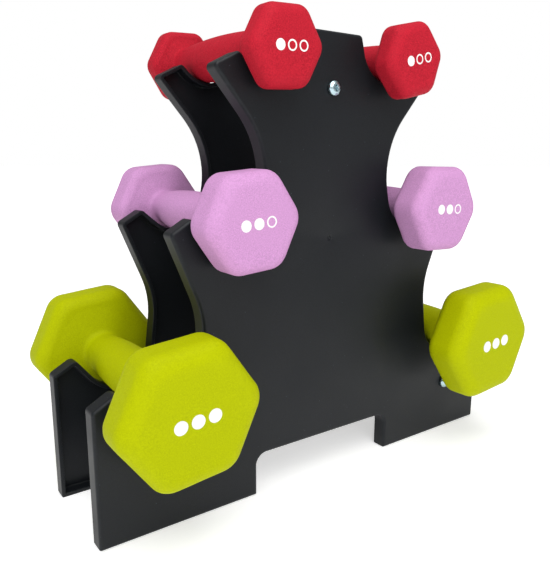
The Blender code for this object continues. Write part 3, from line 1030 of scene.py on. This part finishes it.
def neoprene_finish(name, tint, strength):
    """Dipped neoprene: a dull skin with fine grain, soft mottling and a painted sheen on the rounded edges
    of its ends. The strength is how coarse its grain looks, 0 to 1."""
    made = Finish(name, 0.6)
    made.shader.inputs["Specular IOR Level"].default_value = 0.05
    grain = made.group(grain_group(), Grain_Scale=1300.0, Patch_Scale=60.0)
    wear_and_highlight = made.group(wear_and_highlight_group(), Scale=400.0, Amount=0.5)
    depth = 0.06 + 0.34 * strength
    speckled = made.mottled(grain["Fine"], tint, 1 - depth, 1 + 0.6 * depth)
    patchy = made.between(made.ranged(grain["Patches"], 0.0, 0.5), speckled, scaled(tint, 0.97))
    # Painted sheen: the rounded edges of the ends are painted lighter.
    made.drive("Base Color", made.between(wear_and_highlight["Mask"], patchy, scaled(tint, 1.12)))
    made.drive("Roughness", made.ranged(grain["Coarse"], 0.52, 0.68))
    made.bumps((grain["Coarse"], 0.16 * MM * strength, 0.7), (grain["Fine"], 0.06 * MM, 0.6))
    return made.material


def ink_finish():
    """Screen-printed white ink, a little thin in places."""
    made = Finish("white ink", 0.5)
    tint = props("finishes").ink
    grain = made.group(grain_group(), Grain_Scale=1800.0, Patch_Scale=500.0)
    made.drive("Base Color", made.mottled(grain["Coarse"], tint, 0.9, 1.0))
    made.drive("Roughness", made.ranged(grain["Patches"], 0.4, 0.6))
    made.bumps((grain["Fine"], 0.02 * MM, 0.5))
    return made.material


def floor_finish():
    """Plain pale floor, very slightly uneven. It glows more far away, and so meets the surround without
    a line."""
    made = Finish("pale floor", 0.7)
    tint = props("finishes").floor
    made.shader.inputs["Specular IOR Level"].default_value = 0.1
    made.shader.inputs["Emission Strength"].default_value = 1.0
    away = made.add("ShaderNodeVectorMath", {0: made.place}, operation="LENGTH").outputs["Value"]
    far = made.add("ShaderNodeMapRange", {"Value": away, "From Min": 0.3, "From Max": 2.0}).outputs[0]
    near_glow, far_glow = (0.46,) * 3, (0.80,) * 3
    made.drive("Emission Color", made.between(far, near_glow, far_glow))
    grain = made.group(grain_group(), Grain_Scale=200.0, Patch_Scale=3.0)
    made.drive("Base Color", made.mottled(grain["Patches"], tint, 0.995, 1.0))
    made.drive("Roughness", made.ranged(grain["Coarse"], 0.65, 0.8))
    return made.material


# ---------------------------------------------------------------- studio
def studio_floor():
    mesh = bpy.data.meshes.new("floor")
    work = bmesh.new()
    bmesh.ops.create_circle(work, cap_ends=True, segments=96, radius=12)
    work.to_mesh(mesh)
    work.free()
    floor = add_object("studio_floor", mesh)
    mesh.materials.append(floor_finish())


def studio_surround():
    """A white surround, seen and reflected."""
    world = bpy.data.worlds.new("white surround")
    world.use_nodes = True
    tree = Tree(world.node_tree)
    lit = world.node_tree.nodes["Background"]
    lit.inputs["Color"].default_value = (1, 1, 1, 1)
    lit.inputs["Strength"].default_value = props("studio").surround
    seen = tree.add("ShaderNodeBackground", {"Color": (1, 1, 1, 1), "Strength": 1.0}).outputs[0]
    eye = tree.add("ShaderNodeLightPath").outputs["Is Camera Ray"]
    mixed = tree.add("ShaderNodeMixShader", {0: eye, 1: lit.outputs[0], 2: seen}).outputs[0]
    tree.tree.links.new(mixed, world.node_tree.nodes["World Output"].inputs["Surface"])
    bpy.context.scene.world = world


def area_light(name, place, aim, width, height, power):
    data = bpy.data.lights.new(name, "AREA")
    data.shape = "RECTANGLE"
    data.size = width
    data.size_y = height
    data.energy = power
    light = add_object(name, data)
    light.location = place
    light.rotation_euler = (Vector(aim) - Vector(place)).to_track_quat("-Z", "Y").to_euler()


def studio_lights():
    studio = props("studio")
    aim = (0, 0, 0.15)
    area_light("key light", (-0.6, -1.25, 1.05), aim, 1.1, 0.8, studio.key)
    area_light("side light", (-1.5, 0.6, 0.6), aim, 0.8, 1.2, studio.side)
    area_light("top light", (-0.2, -0.4, 1.4), aim, 1.2, 1.2, studio.top)


def studio_camera():
    studio = props("studio")
    data = bpy.data.cameras.new("camera")
    data.lens = studio.lens
    data.clip_start, data.clip_end = 0.01, 60
    camera = add_object("camera", data)
    level = Matrix.Rotation(-studio.heading, 4, "Z") @ Matrix.Rotation(math.pi / 2 - studio.dip, 4, "X")
    camera.matrix_world = Matrix.Translation(studio.stand) @ level @ Matrix.Rotation(studio.roll, 4, "Z")
    bpy.context.scene.camera = camera


# ---------------------------------------------------------------- operators
class RackOperator:
    """What every operator shares: it builds its pieces, and an error stops it."""
    bl_options = {"REGISTER", "UNDO"}

    def execute(self, context):
        self.build()
        return {"FINISHED"}


class RACK_OT_side_plates(RackOperator, bpy.types.Operator):
    """Mould the front and the rear side plate"""
    bl_idname = "rack.side_plates"
    bl_label = "Side Plates"

    def build(self):
        for label, facing in FACINGS.items():
            side_plate(label, facing)


class RACK_OT_cross_bars(RackOperator, bpy.types.Operator):
    """Mould the three cross bars"""
    bl_idname = "rack.cross_bars"
    bl_label = "Cross Bars"
    build = staticmethod(cross_bars)


class RACK_OT_screws(RackOperator, bpy.types.Operator):
    """Drive the six tapping screws"""
    bl_idname = "rack.screws"
    bl_label = "Screws"
    build = staticmethod(screws)


class RACK_OT_cores(RackOperator, bpy.types.Operator):
    """Give the six iron cores their cast finish"""
    bl_idname = "rack.cores"
    bl_label = "Iron Cores"
    build = staticmethod(cores)


class RACK_OT_coats(RackOperator, bpy.types.Operator):
    """Dip the six dumbbells in neoprene"""
    bl_idname = "rack.coats"
    bl_label = "Neoprene Coats"
    build = staticmethod(coats)


class RACK_OT_size_marks(RackOperator, bpy.types.Operator):
    """Print a row of dots that shows its size on both ends of each dumbbell"""
    bl_idname = "rack.size_marks"
    bl_label = "Size Marks"
    build = staticmethod(size_marks)


class RACK_OT_studio(RackOperator, bpy.types.Operator):
    """Set up the floor, the light and the camera"""
    bl_idname = "rack.studio"
    bl_label = "Studio"

    def build(self):
        studio_floor()
        studio_surround()
        studio_lights()
        studio_camera()
        bpy.context.scene.view_settings.view_transform = "Standard"


GROUPS = {"sizes": RackSizes, "dumbbells": DumbbellSizes, "finishes": Finishes, "studio": Studio}
OPERATORS = (RACK_OT_side_plates, RACK_OT_cross_bars, RACK_OT_screws, RACK_OT_cores, RACK_OT_coats,
             RACK_OT_size_marks, RACK_OT_studio)


class RACK_PT_panel(bpy.types.Panel):
    """Pieces of the dumbbell rack and their sizes"""
    bl_idname = "RACK_PT_panel"
    bl_label = "Dumbbell Rack"
    bl_space_type = "VIEW_3D"
    bl_region_type = "UI"
    bl_category = "Dumbbell Rack"

    def draw(self, context):
        for operator in OPERATORS:
            self.layout.operator(operator.bl_idname)
        for name, group in GROUPS.items():
            box = self.layout.box()
            box.label(text=name.title())
            for label in group.__annotations__:
                box.prop(props(name), label)


def register():
    for group in GROUPS.values():
        bpy.utils.register_class(group)
    for item in (*OPERATORS, RACK_PT_panel):
        bpy.utils.register_class(item)
    for name, group in GROUPS.items():
        setattr(bpy.types.Scene, f"rack_{name}", PointerProperty(type=group))


def unregister():
    for name in GROUPS:
        delattr(bpy.types.Scene, f"rack_{name}")
    for item in (RACK_PT_panel, *reversed(OPERATORS), *reversed(GROUPS.values())):
        bpy.utils.unregister_class(item)


def main():
    register()
    bpy.ops.rack.studio()
    bpy.ops.rack.side_plates()
    bpy.ops.rack.cross_bars()
    bpy.ops.rack.screws()
    bpy.ops.rack.cores()
    bpy.ops.rack.coats()
    bpy.ops.rack.size_marks()


if __name__ == "__main__":
    main()
